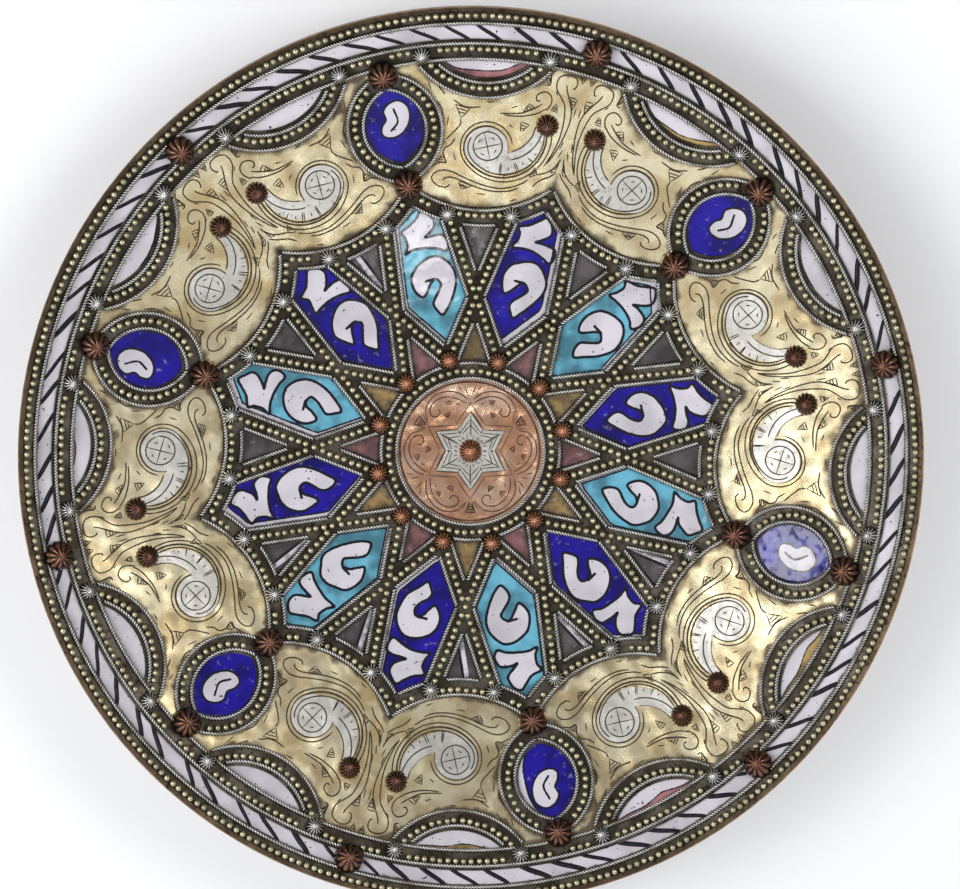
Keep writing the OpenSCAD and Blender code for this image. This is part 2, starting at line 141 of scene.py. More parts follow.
def white_glaze(f):
    """Tin-glaze white: greyer in cloudy patches, with sharp dark pinholes where fine noise peaks."""
    ground = blend(step(cloud(f, 45), 0.35, 0.75), GLAZE_WHITE, GLAZE_GREY)
    return blend(step(cloud(f, 620, 1), 0.72, 0.75), ground, PINHOLE)


def place(f):
    """The shaded point's coordinates in millimetres, and its distance from Z."""
    x, y, z = (f.node("SeparateXYZ", {"Vector": here(f)}, out=i) / MM for i in range(3))
    return x, y, z, (x * x + y * y) ** 0.5


def dish_glaze(f):
    """White glaze with painted shade and grime beside the rim's wires, buff over throwing rings behind, wiped
    off the foot.
    """
    *_, z, r = place(f)
    back = step((r * r + (z - middle_z) ** 2) ** 0.5, bowl_r + 3, bowl_r + 6)
    rings = f.math("SINE", r * 1.7 + (cloud(f, 25) - 0.5) * 6)
    bare = step(z + (cloud(f, 150) - 0.5) * 2, 1.3, 0.6)
    inner_wire_r = ring_of("inner_rim_wires")[0] + wire_r
    wire_gap = f.math("MINIMUM", far_r - wire_r - r, r - inner_wire_r)
    # Painted shade with grime: the glaze darkens next to the rim's raised wires.
    grime_and_shade = step(wire_gap + (cloud(f, 260, 4) - 0.5) * 3, 0.5, -0.5) * (1 - back)
    glaze = blend(back * 0.45, blend(grime_and_shade * 0.85, white_glaze(f), RIM_SHADE_AND_GRIME), BACK_BUFF)
    clay = blend(cloud(f, 400, 5), CLAY_DARK, CLAY_PALE)
    return {"Base Color": blend(bare, glaze, clay), "Coat Weight": 0.3,
            "Roughness": 0.12 + 0.2 * step(cloud(f, 160), 0.4, 0.8) + 0.5 * bare,
            "Normal": bump(cloud(f, 90, 1) * 0.25 + rings * back * 0.05, 1)}


dress(material("tin_glaze", dish_glaze), "ceramic_dish")

# The painting: hooks and leaves brushed on the dish in cobalt, turquoise, rose and ochre with black outlines.
# It was fired before the metal went on, so it sits a little askew in the windows that the overlay leaves.
# Each window is a closed film of glaze on the dish; its vertices carry distances to the painted lines.
PATTERN_TURN = 13
SECTORS = PATTERN_TURN + 60 * np.arange(6)
THIRDS = PATTERN_TURN + 30 * np.arange(12)
MIDS, OVALS = THIRDS + 15, SECTORS + 30
STRIP_H, EDGE_H = 3.4, 4.3
MOON_SPAN, MOON_DROP = 56.5, 17.4
OVAL_LEN, OVAL_W, OVAL_INSET = 44, 34.4, 9
POINT_GAP, LOBE_DROP = 9.4, 13.6
CROSS_R, HUB_STUD_STEP = 70, 6
FILM_LOW, FILM_TOP = -0.2, 0.2


def face(plan, lift=0):
    """Plan places set on the bowl: down to the sphere, then towards its middle by lift."""
    plan = np.asarray(plan, float)
    ray = np.concatenate([plan, -np.sqrt(bowl_r**2 - (plan**2).sum(-1, keepdims=True))], -1) / bowl_r
    return ray * (bowl_r - np.asarray(lift, float)[..., None]) + (0, 0, middle_z)


def compass(turn):
    """Unit step at an angle in degrees."""
    return np.array([np.cos(np.radians(turn)), np.sin(np.radians(turn))])


def around(local, turn):
    """Local places (right, outwards) turned so that outwards points along an angle."""
    c, s = compass(turn)
    return local[..., :1] * (s, -c) + local[..., 1:] * (c, s)


def to(turn, r):
    """Direction from the bowl's middle to the place on its face at that angle and distance from Z."""
    return np.array([*r * compass(turn), -np.sqrt(bowl_r**2 - r**2)]) / bowl_r


def step_in(r, length):
    """Distance from Z after walking that length inwards along the bowl."""
    return bowl_r * np.sin(np.arcsin(r / bowl_r) - length / bowl_r)


def beside(r, off):
    """Angle in degrees of a place on the circle r that lies off to the side."""
    return np.degrees(np.arcsin(off / r))


def spin(v, turn):
    """A direction turned about Z."""
    c, s = compass(turn)
    return np.array([v[0] * c - v[1] * s, v[0] * s + v[1] * c, v[2]])


def unit(v):
    """Vectors brought to length 1."""
    return v / np.linalg.norm(v, axis=-1, keepdims=True)


def circle_through(a, b, c):
    """Axis of the round line through three directions, pointing down, and its reach on the face."""
    n = np.cross(b - a, c - a)
    n = -np.sign(n[2]) * unit(n)
    return n, bowl_r * np.linalg.norm(a - (a @ n) * n)


inner_r = ring_of("inner_rim_wires")[0] - STRIP_H
inner_seam_r = inner_r - STRIP_H
moon_turn = beside(inner_r, MOON_SPAN / 2)
moon_r = step_in(inner_r, MOON_DROP)
moon_axis, moon_arc = circle_through(to(moon_turn, inner_r), to(-moon_turn, inner_r), to(0, moon_r))
oval_r = step_in(inner_r, OVAL_INSET + OVAL_LEN / 2)
oval_arc = (OVAL_LEN**2 + OVAL_W**2) / (4 * OVAL_W)
oval_turn = beside(oval_r, oval_arc - OVAL_W / 2)
oval_foot_r = step_in(oval_r, OVAL_LEN / 2)
point_r = step_in(oval_foot_r, POINT_GAP)
lobe_r = step_in(point_r, LOBE_DROP)
lobe_axis, lobe_arc = circle_through(to(15, point_r), to(-15, point_r), to(0, lobe_r))
hub_r = hub_seam_r + STRIP_H
hub_stud_r = hub_r + HUB_STUD_STEP


def ring_line(axis, reach, ball):
    """The round line on a ball about an axis, as a plane: its normal and its distance from the middle."""
    return axis, np.sqrt(ball**2 - reach**2)


def lobe_line(turn, grow, ball):
    return ring_line(spin(lobe_axis, turn), lobe_arc + grow, ball)


def spoke_line(turn, hand, away):
    """The straight line beside a spoke: a plane parallel to the one through the hub stud and the crossing."""
    n = np.cross(to(turn, hub_stud_r), to(turn + hand * 15, CROSS_R))
    return unit(n) * np.sign(n @ to(turn, CROSS_R)), away


def meet(a, b, near, ball):
    """Where two such lines cross on the ball, on the side that looks towards near."""
    c = a[0] @ b[0]
    p, q = (a[1] - b[1] * c) / (1 - c * c), (b[1] - a[1] * c) / (1 - c * c)
    w = np.cross(a[0], b[0])
    k = np.sqrt((ball**2 - p * p - q * q - 2 * p * q * c) / (w @ w))
    base = p * a[0] + q * b[0]
    return max(base + k * w, base - k * w, key=lambda place: place @ near)


def walk(line, a, b, count):
    """Places along such a line from a to b: turned about the plane's normal by equal angles."""
    centre = line[0] * line[1]
    u = a - centre
    v = np.cross(line[0], u)
    t = np.linspace(0, np.arctan2((b - centre) @ v, (b - centre) @ u), count)[:, None]
    return centre + np.cos(t) * u + np.sin(t) * v


def corner_run(lines, near, count):
    """Plan outline from first to last corner of lines that meet one after another near the given places."""
    corners = [meet(a, b, n, bowl_r) for a, b, n in zip(lines, lines[1:], near)]
    runs = [walk(line, a, b, count) for line, a, b in zip(lines[1:], corners, corners[1:])]
    return np.concatenate(runs)[:, :2]


def curve(points, count, closed=True):
    """Smooth line through points (Catmull-Rom): each span is a cubic whose ends head for the neighbours."""
    p = np.asarray(points, float)
    before, after = (p[-1:], p[:2]) if closed else (2 * p[:1] - p[1:2], 2 * p[-1:] - p[-2:-1])
    p = np.concatenate([before, p, after])
    t = np.linspace(0, len(p) - 3, count)
    i = np.minimum(t.astype(int), len(p) - 4)
    f = (t - i)[:, None]
    a, b, c, d = p[i], p[i + 1], p[i + 2], p[i + 3]
    return b + 0.5 * f * (c - a + f * (2 * a - 5 * b + 4 * c - d + f * (3 * (b - c) + d - a)))


def near_to(places, line):
    """Distance of each place to a run of straight steps: to its foot on a step, or to a step's end."""
    a, d = line[:-1], np.diff(line, axis=0)
    gap = places[..., None, :] - a
    s = np.clip((gap * d).sum(-1) / ((d * d).sum(-1) + 1e-12), 0, 1)
    return np.linalg.norm(gap - s[..., None] * d, axis=-1).min(-1)


def within(places, loop):
    """Distance to a closed line, negative inside, where a ray crosses the line an odd number of times."""
    x, y = places[..., :1], places[..., 1:]
    (x0, y0), (x1, y1) = loop[:-1].T, loop[1:].T
    crossed = ((y0 > y) != (y1 > y)) & (x < x0 + (y - y0) * (x1 - x0) / np.where(y1 == y0, 1e-9, y1 - y0))
    return near_to(places, loop) * np.where(crossed.sum(-1) % 2, -1, 1)


def loft(sections, wrap=False):
    """Solids through rows of closed sections (solids, rows, points, 3): quads between rows, and end caps."""
    k, n, m = sections.shape[:3]
    i, j = np.meshgrid(np.arange(n if wrap else n - 1), np.arange(m), indexing="ij")
    i2, j2 = (i + 1) % n, (j + 1) % m
    quads = np.stack([i * m + j, i * m + j2, i2 * m + j2, i2 * m + j], -1).reshape(1, -1, 4)
    base = np.arange(k)[:, None, None] * n * m
    faces = (quads + base).reshape(-1, 4).tolist()
    if not wrap:
        ends = np.stack([np.arange(m)[::-1], np.arange(m) + (n - 1) * m])
        faces += (ends + base).reshape(-1, m).tolist()
    return sections.reshape(-1, 3), faces


def shown(name, data):
    """A new object in the scene."""
    made = bpy.data.objects.new(name, data)
    bpy.context.scene.collection.objects.link(made)
    return made


def piece(name, lofts, look, slot, replaced=(), **values):
    """One object of lofts, with values at its vertices, riding on the dish in place of the nodes named."""
    starts = np.cumsum([0] + [len(v) for v, _ in lofts])
    faces = [[i + s for i in face] for (_, part), s in zip(lofts, starts) for face in part]
    mesh = bpy.data.meshes.new(name)
    mesh.from_pydata(np.concatenate([v for v, _ in lofts]) * MM, [], faces)
    for key, value in values.items():
        kind, entry = ("FLOAT", "value") if value.ndim == 1 else ("FLOAT_VECTOR", "vector")
        mesh.attributes.new(key, kind, "POINT").data.foreach_set(entry, value.ravel())
    mesh.shade_smooth()
    mesh.materials.append(look)
    made = shown(name, mesh)
    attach(made, "root")
    if replaced:
        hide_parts(*replaced)


def painted(name, turns, *kinds):
    """One piece of painted films, a window of each kind at each angle.

    A kind is a window's left and right edges, the places across, its paint and how far the painted shade and
    grime creep in.
    A row runs from left to right on the film's top and back along its underside. paint(places, index) returns
    distances to the colour field, the white motif and the brushed lines, and the field's colour.
    """
    lofts, values = [], []
    for left, right, across, paint, soot_and_shade in kinds:
        f = np.linspace(0, 1, across)[:, None]
        grid = left[:, None] * (1 - f) + right[:, None] * f
        shut = np.concatenate([right[:, None], left[:, None], grid], 1)
        lift = np.where(np.arange(across + 2) < 2, FILM_LOW, FILM_TOP)
        edge = near_to(shut, np.concatenate([left, right[::-1], left[:1]])) / soot_and_shade
        for index, turn in enumerate(turns):
            lofts.append(loft(face(around(shut, turn), lift)[None]))
            field, motif, line, tint = paint(shut, index)
            values.append([np.ravel(v) for v in (field, motif, line, edge)] + [np.tile(tint, (edge.size, 1))])
    keys = ("field", "motif", "line", "edge", "tint")
    values = {key: np.concatenate(v) for key, v in zip(keys, zip(*values))}
    piece(name, lofts, paint_look, "glazed_earthenware", **values)


def carried(f, key):
    """A value that the mesh carries at its vertices."""
    return f.node("Attribute", out="Fac", attribute_name=key)


BRUSH_BLACK, WINDOW_SHADE_AND_GRIME = (0.006, 0.007, 0.012), (0.035, 0.028, 0.022)


def painted_glaze(f):
    """Tint where field is below 0, white where motif is, black where line is, and painted shade with grime at
    the edge.
    """
    field, motif, line, edge = (carried(f, key) for key in ("field", "motif", "line", "edge"))
    tint = f.node("Attribute", out="Color", attribute_name="tint")
    white = white_glaze(f)
    waver = (cloud(f, 600, 2) - 0.5) * 0.5
    bleed = (cloud(f, 170, 2) - 0.5) * 1.2
    pool = step(cloud(f, 80), 0.38, 0.66) * 0.6
    thin = step(cloud(f, 330, 2), 0.62, 0.8) * 0.3
    colour = blend(thin, blend(pool, tint, (0, 0, 0)), GLAZE_WHITE)
    colour = blend(step(field + waver + bleed, -0.12, 0.12), colour, white)
    colour = blend(step(motif + waver * 0.6, 0.1, -0.1), colour, white)
    colour = blend(step(line + waver * 0.7, 0.1, -0.1), colour, BRUSH_BLACK)
    # Painted shade with grime darkens each window along its edge, beside the metal frame.
    grime_and_shade = step(edge + (cloud(f, 420) - 0.5) * 2.4, 0.9, -0.3)
    return {"Base Color": blend(grime_and_shade * 0.85, colour, WINDOW_SHADE_AND_GRIME), "Specular IOR Level": 0.4,
            "Roughness": 0.07 + 0.2 * step(cloud(f, 260), 0.5, 0.8) + 0.4 * grime_and_shade,
            "Normal": bump(cloud(f, 120, 1), 0.22)}


paint_look = material("painted_glaze", painted_glaze)
COBALT, TURQUOISE = (0.012, 0.005, 0.27), (0.135, 0.42, 0.55)
ROSE, OCHRE = (0.4, 0.17, 0.18), (0.42, 0.29, 0.1)

# Lozenge windows: cobalt and turquoise in turn, brushed on and fired with the dish.
# Each has a hook near the inner tip and a forked leaf near the outer one, both left white.
MIDDLE, FIELD_SHRINK = np.array([0, 86]), 0.985
OUTLINE_HALF, TONGUE_HALF, FIELD_LINE_HALF = 0.62, 0.6, 0.4
HOOK = [
    (-5.75, 71.4), (-8.4, 75.3), (-8.7, 79.9), (-6.6, 84.1), (-3.25, 86.6), (0.9, 88), (5.1, 87.7),
    (8.4, 84.9), (10.7, 80.3), (10.5, 75.3), (8, 69.9), (4.25, 64.9), (0.9, 61.6), (-1.2, 64.1), (-2.2, 67),
    (-1.2, 69.3), (1.75, 72.2), (3.4, 74.9), (3, 76.8), (1.2, 78), (-1.2, 76.6), (-3.25, 73.7)]
TONGUE = np.array([(1.2, 78.2), (-3, 78.1)])
LEAF = [
    (-8.8, 92.4), (-4.5, 92.9), (0.5, 92.6), (5.5, 91.3), (9.25, 89.5), (11, 92.7), (10.4, 95.7), (8, 97.1),
    (4.25, 97.4), (1.5, 97.4), (3.8, 98.8), (6.5, 101.7), (7.1, 104.5), (5.4, 107.4), (2.6, 109.1),
    (-0.3, 106.7), (-3.8, 104.1), (-8.3, 102.2), (-7, 99.3), (-7.2, 95.7)]


def half_window(edge, first, last, count):
    """Half of a window: how far its edge lies from the middle line at equal steps outwards."""
    rows = np.linspace(first, last, count)
    edge = edge[np.argsort(edge[:, 1], kind="stable")]
    return np.stack([np.abs(np.interp(rows, edge[:, 1], edge[:, 0])), rows], 1)


edge = corner_run([spoke_line(90, -1, EDGE_H), spoke_line(90, 1, EDGE_H), spoke_line(120, -1, -EDGE_H),
                   lobe_line(105, EDGE_H, bowl_r), lobe_line(75, EDGE_H, bowl_r)],
                  [to(turn, CROSS_R) for turn in (90, 105, 97.5, 90)], 12)
lozenge = half_window(edge, edge[0, 1] + 0.4, edge[-1, 1] - 0.4, 96)
outline = np.concatenate([lozenge * (-1, 1), lozenge[::-1]])[::4]
outline = np.concatenate([outline, outline[:1]])


def lozenge_paint(places, index):
    """Field: the window's outline, shrunk and shifted by hand, with a black edge; motifs: hook and leaf."""
    shift, lean = rng.normal(0, 0.5, 2), rng.normal(0, 0.02)
    turned = (places - MIDDLE - shift) @ np.array([[1, lean], [-lean, 1]]) + MIDDLE
    hook, leaf = (within(turned, curve(np.array(shape) + rng.normal(0, 0.2, (len(shape), 2)), 120))
                  for shape in (HOOK, LEAF))
    field = within((places - MIDDLE - rng.normal(0, 1.2, 2)) / FIELD_SHRINK + MIDDLE, outline)
    strokes = [abs(hook) - OUTLINE_HALF, abs(leaf) - OUTLINE_HALF, near_to(turned, TONGUE) - TONGUE_HALF,
               abs(field) - FIELD_LINE_HALF]
    return field, np.minimum(hook, leaf), np.minimum.reduce(strokes), (COBALT, TURQUOISE)[index % 2]


painted("lozenge_painting", THIRDS, (lozenge * (-1, 1), lozenge, 42, lozenge_paint, 1))

# Oval windows: cobalt, brushed on and fired with the dish, round a bean that is left white.
# The bean has its own black outline and one black stroke inside.
BEAN = [
    (-5, 149.5), (-3.6, 152.4), (-5, 156), (-3, 159.6), (1, 161.4), (5, 159.6), (6.8, 155.4), (6, 150),
    (2.4, 145.6), (-2, 144.4), (-5, 146)]
BEAN_STROKE = [(-1, 147.6), (1.6, 152), (-0.6, 157.4)]
BEAN_LINE_HALF, ROUND_HALF, ROUND_R = 0.5, 3, 17
FIELD_SHIFT = [0, 0, -4.8, 0, -7.6, -3.5]
sides = [ring_line(to(90 + s * oval_turn, oval_r), oval_arc - EDGE_H, bowl_r) for s in (1, -1)]
edge = walk(sides[1], meet(*sides, to(90, lobe_r), bowl_r), meet(*sides, to(90, inner_r), bowl_r), 60)[:, :2]
oval = half_window(edge, edge[0, 1] + 0.3, edge[-1, 1] - 0.3, 60)


def oval_paint(places, index):
    """Field: a round that falls short of one side in some windows; motif: the bean, turned by hand."""
    c, s = compass(rng.uniform(-20, 20))
    shift = rng.uniform(-4, 2.5), rng.normal(0, 0.7)
    centre, off = np.array([0, oval_r]), FIELD_SHIFT[index]
    turned = (places - centre - shift) @ np.array([[c, -s], [s, c]]) + centre
    bean = within(turned, curve(BEAN, 90))
    stroke = near_to(turned, curve(BEAN_STROKE, 20, closed=False))
    field = near_to(places, centre + np.array([(off, -ROUND_HALF), (off, ROUND_HALF)])) - ROUND_R
    strokes = [abs(bean) - BEAN_LINE_HALF, stroke - BEAN_LINE_HALF, abs(field) - 0.45]
    return field, bean, np.minimum.reduce(strokes), COBALT


painted("oval_painting", OVALS, (oval * (-1, 1), oval, 40, oval_paint, 1))

# Half-moon windows: white glaze, some with a sliver of rose or ochre painted along one side.
# A black brush line parts the sliver from the white.
DOWN = np.array([0, 0, -1.0])
FAR = 50.0
arc = ring_line(spin(moon_axis, 90), moon_arc - EDGE_H, bowl_r)
rim = ring_line(DOWN, inner_seam_r, bowl_r)
moon_low = walk(arc, *(meet(arc, rim, to(90 + s * 15, inner_r), bowl_r) for s in (1, -1)), 60)[1:-1, :2]
moon_top = np.stack([moon_low[:, 0], np.sqrt(inner_seam_r**2 - moon_low[:, 0]**2)], 1)
MOON_DABS = {  # by window: the colour, the side it lies along, its width and where it is widest
    0: (ROSE, moon_low, 1.5, 3), 1: (OCHRE, moon_low, 3.2, 7), 2: (ROSE, moon_low, 4.2, 3),
    4: (ROSE, moon_low, 1.8, 5), 5: (ROSE, moon_top, 1.6, 0), 8: (OCHRE, moon_top, 2.2, -1),
    9: (ROSE, moon_top, 2.8, -4), 10: (OCHRE, moon_top, 3.6, -7)}


def nowhere(places):
    """A distance so large that nothing is painted."""
    return np.full(places.shape[:-1], FAR)


def moon_paint(places, index):
    """Field: a strip along one side that thins away from its widest place, with a black line."""
    if index not in MOON_DABS:
        return *[nowhere(places)] * 3, OCHRE
    tint, side, wide, middle = MOON_DABS[index]
    x = places[..., 0]
    field = near_to(places, side) - wide + 0.12 * np.abs(x - middle) + 0.4 * np.sin(x / 3)
    return field, field + FAR, abs(field) - 0.3, tint


painted("half_moon_painting", MIDS, (moon_top, moon_low, 22, moon_paint, 1.5))

# Triangle windows: dim ochre and rose next to the hub, grey glaze further out.
# In these small windows the painted shade and grime at the edge reach far into each.
DULL, DULL_ROSE, DULL_OCHRE = (0.105, 0.09, 0.09), (0.24, 0.11, 0.115), (0.34, 0.23, 0.09)
BARE_SLIVERS = (3, 6, 7, 8, 9, 10)
hub_edge = ring_line(DOWN, hub_r + EDGE_H, bowl_r)
edge = corner_run([hub_edge, spoke_line(75, 1, -EDGE_H), spoke_line(105, -1, -EDGE_H)],
                  [to(75, hub_r), to(90, CROSS_R)], 40)
inner_tri = half_window(edge, hub_r + EDGE_H + 0.2, edge[-1, 1] - 0.6, 30)
edge = corner_run([spoke_line(105, -1, EDGE_H), spoke_line(75, 1, EDGE_H), lobe_line(90, EDGE_H, bowl_r)],
                  [to(90, CROSS_R), to(105, CROSS_R)], 40)
outer_tri = half_window(edge, edge[0, 1] + 0.6, edge[-1, 1], 40)


def inner_tri_paint(places, index):
    """Field: the whole window, ochre and rose in turn."""
    bare = nowhere(places)
    return -bare, bare, bare, (DULL_OCHRE, DULL_ROSE)[index % 2]


def outer_tri_paint(places, index):
    """Field: all dull grey; some windows keep a slanting white sliver beside a black stroke."""
    off = places[..., 0] + rng.uniform(0, 3) - rng.uniform(-0.4, -0.1) * (places[..., 1] - 92)
    bare = nowhere(places)
    if index in BARE_SLIVERS:
        return -bare, np.abs(off) - 1, np.abs(off - 1.7) - 0.6, DULL
    return -bare, bare, bare, DULL


painted("triangle_painting", MIDS, (inner_tri * (-1, 1), inner_tri, 14, inner_tri_paint, 4.5),
        (outer_tri * (-1, 1), outer_tri, 16, outer_tri_paint, 3.5))

# The painted rope round the rim: slanting black brush strokes on the white band between the two rim strips.
# Each is one pull of a flat brush, set down by eye, so no two gaps are quite alike.
ROPE_STROKES, ROPE_SLANT, ROPE_HALF = 77, 4.1, 0.95


def ribbon(plan, half, low, top):
    """Flat strokes along plan lines (strokes, places, 2): a four-cornered section, half wide to each side."""
    way = np.gradient(plan, axis=-2)
    way /= np.linalg.norm(way, axis=-1, keepdims=True) + 1e-12
    side = np.stack([-way[..., 1], way[..., 0]], -1) * np.asarray(half)[..., None]
    corners = ((-1, low), (1, low), (1, top), (-1, top))
    return loft(np.stack([face(plan + hand * side, lift) for hand, lift in corners], -2))


s = np.linspace(0, 1, 11)
rope_r = np.linspace(far_r - 0.6, inner_r + EDGE_H, 11)
start = np.arange(ROPE_STROKES) * 360 / ROPE_STROKES + rng.normal(0, 0.4, ROPE_STROKES)
slant = ROPE_SLANT * rng.uniform(0.85, 1.15, (ROPE_STROKES, 1))
angle = start[:, None] - slant * (s - 0.02 * np.sin(2 * np.pi * s))
swell = ROPE_HALF * (0.7 + 0.3 * np.sin(np.pi * s) ** 0.7) * rng.uniform(0.75, 1.2, (ROPE_STROKES, 1))
strokes = np.moveaxis(rope_r * compass(angle), 0, -1)
black_brush = material("black_brush", lambda f: {
    "Base Color": blend(step(cloud(f, 500), 0.35, 0.8), (0.004, 0.004, 0.007), (0.02, 0.02, 0.03)),
    "Roughness": 0.35 + 0.25 * cloud(f, 300), "Specular IOR Level": 0.25})
piece("rope_painting", [ribbon(strokes, swell, FILM_LOW, FILM_TOP)], black_brush, "glazed_earthenware")

# The binding: copper strip folded round the dish's lip and crimped over it, with a hem that laps the face.
# It has gone brown with age and is rubbed bright along its upper edge.
BINDING_RUBBED = (0.3, 0.19, 0.1)
low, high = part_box("rim_binding")
rim_r, lip_z = (high[0] - low[0]) / 2 / MM, high[2] / MM


def metal(colour, worn, grime_and_shade, rough, spread, hammer):
    """Old metal mottled towards a worn and a grimed colour, with scratches and planishing marks."""
    def paint(f):
        patches = step(cloud(f, 38 * spread, 5), 0.42, 0.68)
        spots = step(cloud(f, 210 * spread, 4), 0.52, 0.74)
        colours = blend(spots * 0.8, blend(patches, colour, worn), grime_and_shade)
        drawn = f.node("Mapping", {"Vector": here(f), "Rotation": (0.2, 0.1, 0.6), "Scale": (1, 14, 1)})
        scratch = f.node("TexNoise", {"Vector": drawn, "Scale": 260, "Detail": 2})
        height = cloud(f, 70 * spread, 1) * hammer + scratch * 0.012
        return {"Base Color": colours, "Metallic": 1, "Normal": bump(height, 1),
                "Roughness": rough + 0.22 * spots + 0.1 * (scratch - 0.5)}
    return paint


def binding_copper(f):
    """Brown and dull on the hem and the wall, rubbed to copper along the upper edge."""
    *_, z, r = place(f)
    outside = step(r + (cloud(f, 300) - 0.5) * 0.9, rim_r - 0.7, rim_r - 0.1)
    rubbed = outside * step(z + (cloud(f, 120) - 0.5) * 3, lip_z - 4, lip_z - 2)
    looks = metal(colour=(0.07, 0.05, 0.034), worn=(0.13, 0.095, 0.06), grime_and_shade=(0.018, 0.013, 0.009),
                  rough=0.45, spread=2, hammer=0.1)(f)
    return {**looks, "Base Color": blend(rubbed, looks["Base Color"], BINDING_RUBBED)}


dress(material("copper_binding_aged", binding_copper), "rim_binding")

# The strips and the rosette's pierced fret: nickel-silver sheet laid on the glaze, soldered where they meet.
# They are coloured near black all over, darker than bare nickel silver.
dress(material("nickel_silver_dark", metal(
    colour=(0.046, 0.038, 0.028), worn=(0.125, 0.108, 0.086), grime_and_shade=(0.01, 0.008, 0.005),
    rough=0.42, spread=2.4, hammer=0.1)), "rosette_fret", *(name for name in nodes if "_strip" in name))

# The brass panels: thin sheet planished by hand and chased with scrolls, rubbed pale on its high places.
# Along every frame the brass turns brown: painted shade beside the raised frames, with polish and soot.
BRASS_WARM, BRASS_DULL, BRASS_RUBBED = (0.68, 0.517, 0.258), (0.61, 0.498, 0.295), (0.95, 0.845, 0.56)
BRASS_STAIN, BRASS_SHADE_AND_SOOT = (0.3, 0.21, 0.1), (0.06, 0.042, 0.028)


def frame_gap(f):
    """Distance in mm from the nearest frame, whose edge is a round line at a known reach from its axis."""
    x, y, z, r = place(f)
    turn, drop = f.math("ARCTAN2", y, x), z - middle_z
    far = (r * r + drop * drop) ** 0.5

    def reach(axis, start, fold):
        away = f.math("WRAP", turn - np.radians(start), np.radians(fold), np.radians(-fold))
        side = f.math("ABSOLUTE", r * f.math("SINE", away))
        along = r * f.math("COSINE", away)
        cosine = (along * axis[0] + side * axis[1] + drop * axis[2]) / far
        return bowl_r * (1 - cosine * cosine) ** 0.5

    gaps = (reach(moon_axis, MIDS[0], 15) - (moon_arc + EDGE_H),
            lobe_arc - EDGE_H - reach(lobe_axis, MIDS[0], 15),
            reach(to(-oval_turn, oval_r), OVALS[0], 30) - (oval_arc + EDGE_H))
    least = inner_seam_r - wire_r - r
    for gap in gaps:
        least = f.math("MINIMUM", least, gap)
    return least


def planished_brass(f):
    """Pale brass, yellow to cream by patches, in shallow hammer facets; painted shade and soot brown it where
    frame_gap is small.
    """
    patches, broad = step(cloud(f, 75), 0.36, 0.66), step(cloud(f, 16, 2), 0.35, 0.65)
    stain = step(cloud(f, 150, 2), 0.56, 0.76)
    # Painted shade with soot: the brass darkens towards each raised frame.
    soot_and_shade = step(frame_gap(f) + (cloud(f, 140, 4) - 0.5) * 9 - broad * 1.2, 2.4, -1.2)
    sheet = blend(patches, blend(broad, BRASS_WARM, BRASS_DULL), BRASS_RUBBED)
    facets = f.node("TexVoronoi", {"Vector": here(f), "Scale": 125, "Smoothness": 0.6}, feature="SMOOTH_F1")
    return {"Base Color": blend(soot_and_shade * 0.9, blend(stain * 0.4, sheet, BRASS_STAIN), BRASS_SHADE_AND_SOOT),
            "Metallic": 1, "Roughness": 0.27 + 0.14 * stain + 0.25 * soot_and_shade,
            "Normal": bump(facets * 0.34 + cloud(f, 60, 1) * 0.5, 1)}


dress(material("brass_chased", planished_brass), *(f"brass_panel_{k}" for k in range(1, 7)))

# The chasing: lines cut in the brass with a graver and filled with dark polish.
# Each half of a panel mirrors the other, and every line strays a little from its place.
SHEET_T, APPLIQUE_T = 0.8, 0.5
GROOVE_HALF, GROOVE_DEEP, GROOVE_PROUD = 0.31, 0.25, 0.09
HEAD, BOW, HOLLOW = np.array([33.6, 132.6]), np.array([27.9, 140.2]), np.array([29.1, 146.1])
HEAD_R, BEND_R = 9.5, 19


def arc_points(centre, radius, first, last, count=30):
    """Places on a round arc between two angles in degrees."""
    return np.asarray(centre) + radius * compass(np.linspace(first, last, count)).T


def hatch(a, b, tip):
    """A small chased triangle: its three sides and two bars between base and tip."""
    a, b, tip = np.array([a, b, tip], float)
    return [(a, tip), (b, tip), (a, b)] + [(a + f * (tip - a), b + f * (tip - b)) for f in (0.28, 0.54)]


def comma(grow, bow, head, count=30):
    """A paisley's outer edge, grown by so much: one arc round its bow and one round its head."""
    return np.concatenate([arc_points(BOW, BEND_R + grow, *bow, count),
                           arc_points(HEAD, HEAD_R + grow, *head, count)])


